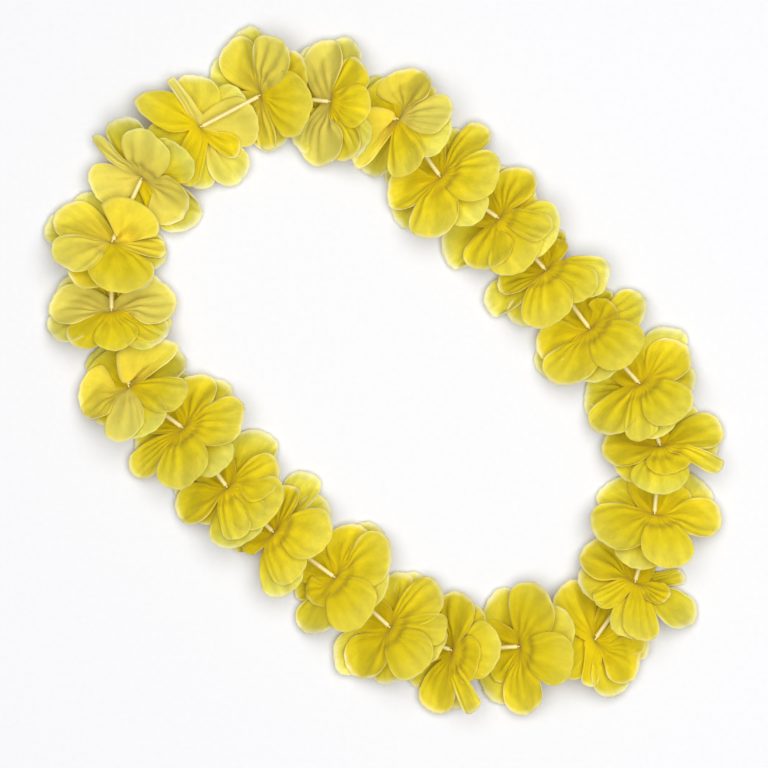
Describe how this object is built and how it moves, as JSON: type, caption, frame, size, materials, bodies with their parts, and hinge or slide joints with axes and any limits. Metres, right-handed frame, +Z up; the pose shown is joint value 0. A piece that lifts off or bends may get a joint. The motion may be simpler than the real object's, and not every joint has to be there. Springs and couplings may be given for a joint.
{
  "type": "fabric flower lei",
  "caption": "Closed garland of layered yellow fabric blooms held apart by white straw spacers on a knotted thread, laid flat in an oval; worn round the neck.",
  "frame": {"origin": "middle of the lei's outline, on the surface it lies on", "axes": "+Z up from the surface; +Y towards the narrow end that is uppermost in the picture, +X to its right"},
  "size_m": [0.3958, 0.4001, 0.0388],
  "materials": {
    "petal": "thin pressed cloth, matt, lets light through",
    "straw": "thin white plastic straw, satin, faintly ribbed",
    "thread": "white cotton thread, matt"
  },
  "bodies": {
    "root": {"bloom_01": "petal", "bloom_02": "petal", "bloom_03": "petal", "bloom_04": "petal", "bloom_05": "petal", "bloom_06": "petal", "bloom_07": "petal", "bloom_08": "petal", "bloom_09": "petal", "bloom_10": "petal", "bloom_11": "petal", "bloom_12": "petal", "bloom_13": "petal", "bloom_14": "petal", "bloom_15": "petal", "bloom_16": "petal", "bloom_17": "petal", "bloom_18": "petal", "bloom_19": "petal", "bloom_20": "petal", "bloom_21": "petal", "bloom_22": "petal", "bloom_23": "petal", "bloom_24": "petal", "spacer_01": "straw", "spacer_02": "straw", "spacer_03": "straw", "spacer_04": "straw", "spacer_05": "straw", "spacer_06": "straw", "spacer_07": "straw", "spacer_08": "straw", "spacer_09": "straw", "spacer_10": "straw", "spacer_11": "straw", "spacer_12": "straw", "spacer_13": "straw", "spacer_14": "straw", "spacer_15": "straw", "spacer_16": "straw", "spacer_17": "straw", "spacer_18": "straw", "spacer_19": "straw", "spacer_20": "straw", "spacer_21": "straw", "spacer_22": "straw", "spacer_23": "straw", "spacer_24": "straw", "thread": "thread"}
  },
  "joints": []
}
